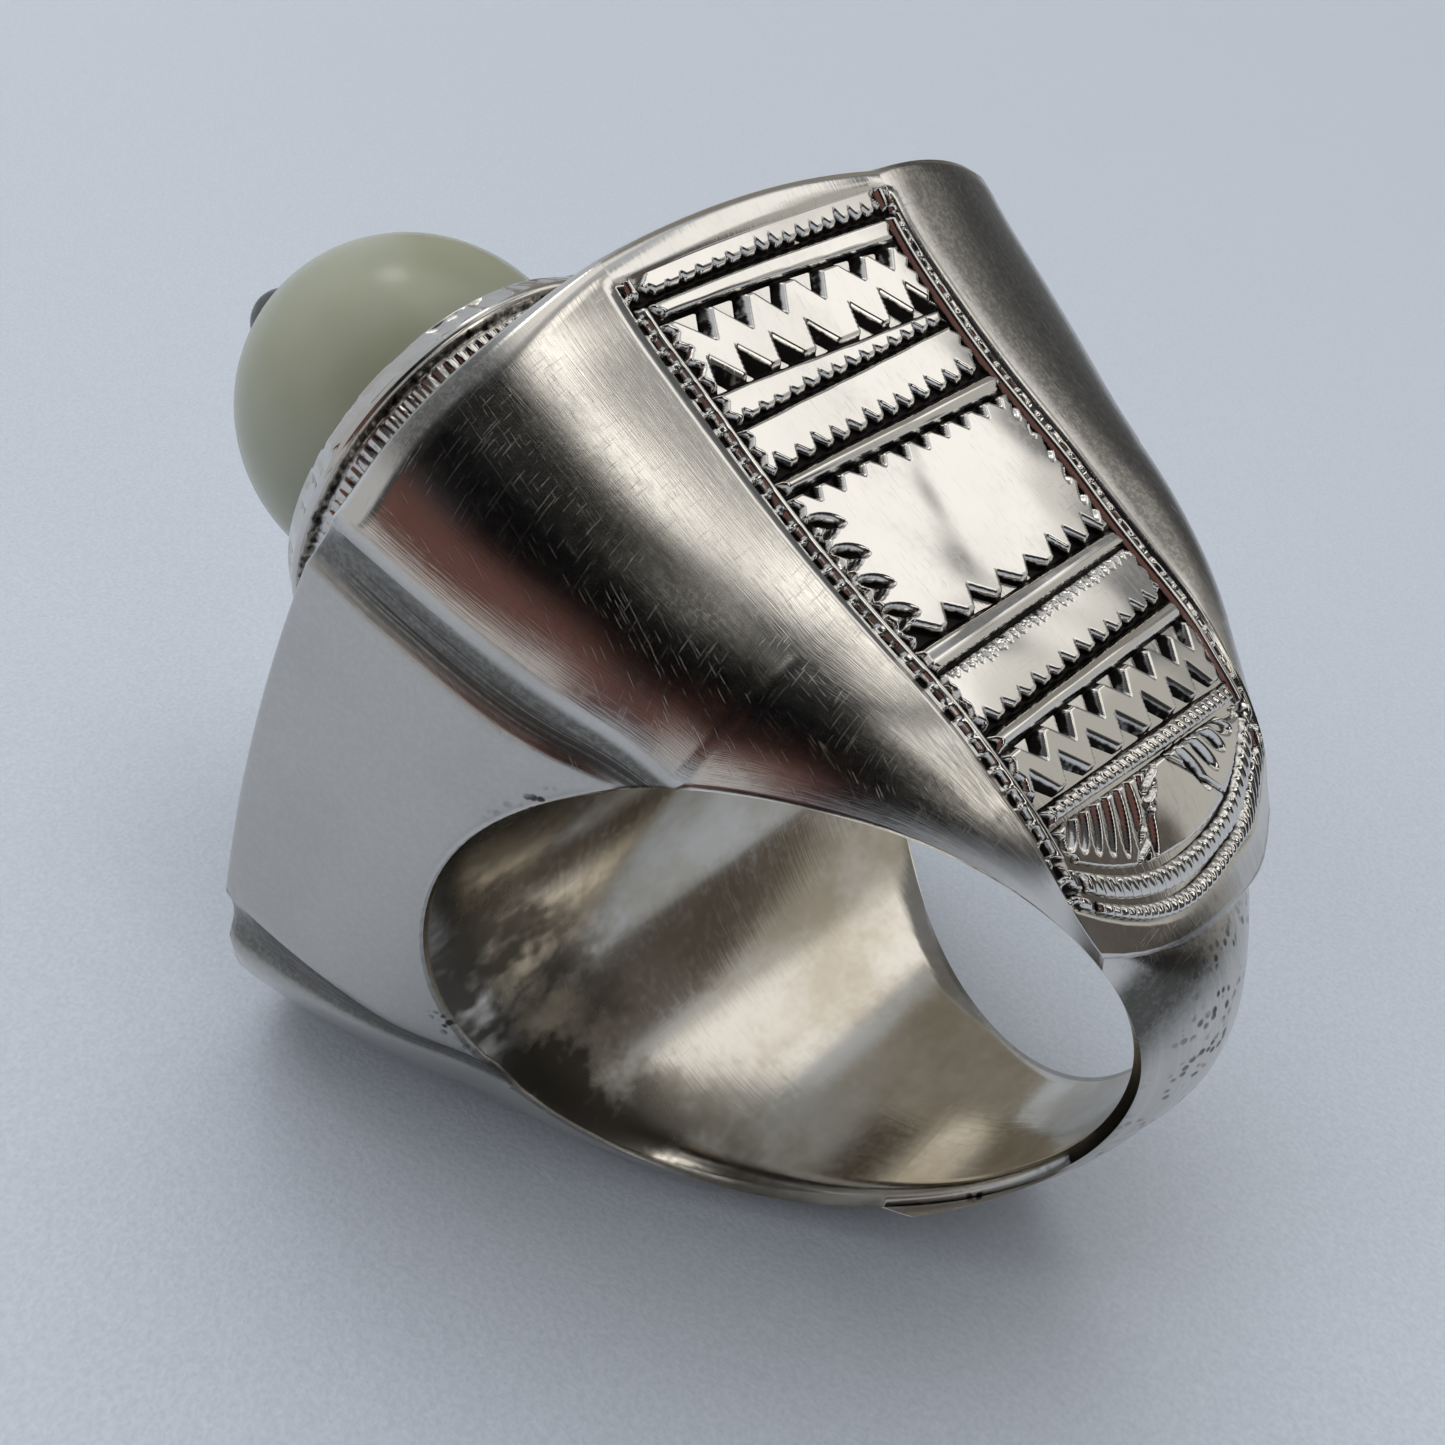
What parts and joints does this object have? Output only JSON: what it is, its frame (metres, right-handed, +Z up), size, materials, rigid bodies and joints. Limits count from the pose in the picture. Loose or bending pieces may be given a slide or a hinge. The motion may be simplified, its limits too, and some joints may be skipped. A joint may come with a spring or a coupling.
{
  "type": "silver and jade finger ring",
  "caption": "Heavy finger ring: a wedge-shaped head whose engraved shoulders narrow to a slim shank, with a round polished bead held in a collar by a pin.",
  "frame": {"origin": "middle of the finger hole, on its axis", "axes": "+Y along the finger hole, away from the side that the picture shows; +Z up from the surface that the ring lies on; the head and its bead point to -X and a little up"},
  "size_m": [0.0448, 0.0302, 0.0304],
  "materials": {
    "silver": "worn polish, blackened in the cuts",
    "jade": "waxy polish, slightly translucent",
    "dark_silver": "dark tarnish, polished by wear"
  },
  "bodies": {
    "root": {"ring_body": "silver", "jade_bead": "jade", "bead_pin": "dark_silver"}
  },
  "joints": []
}
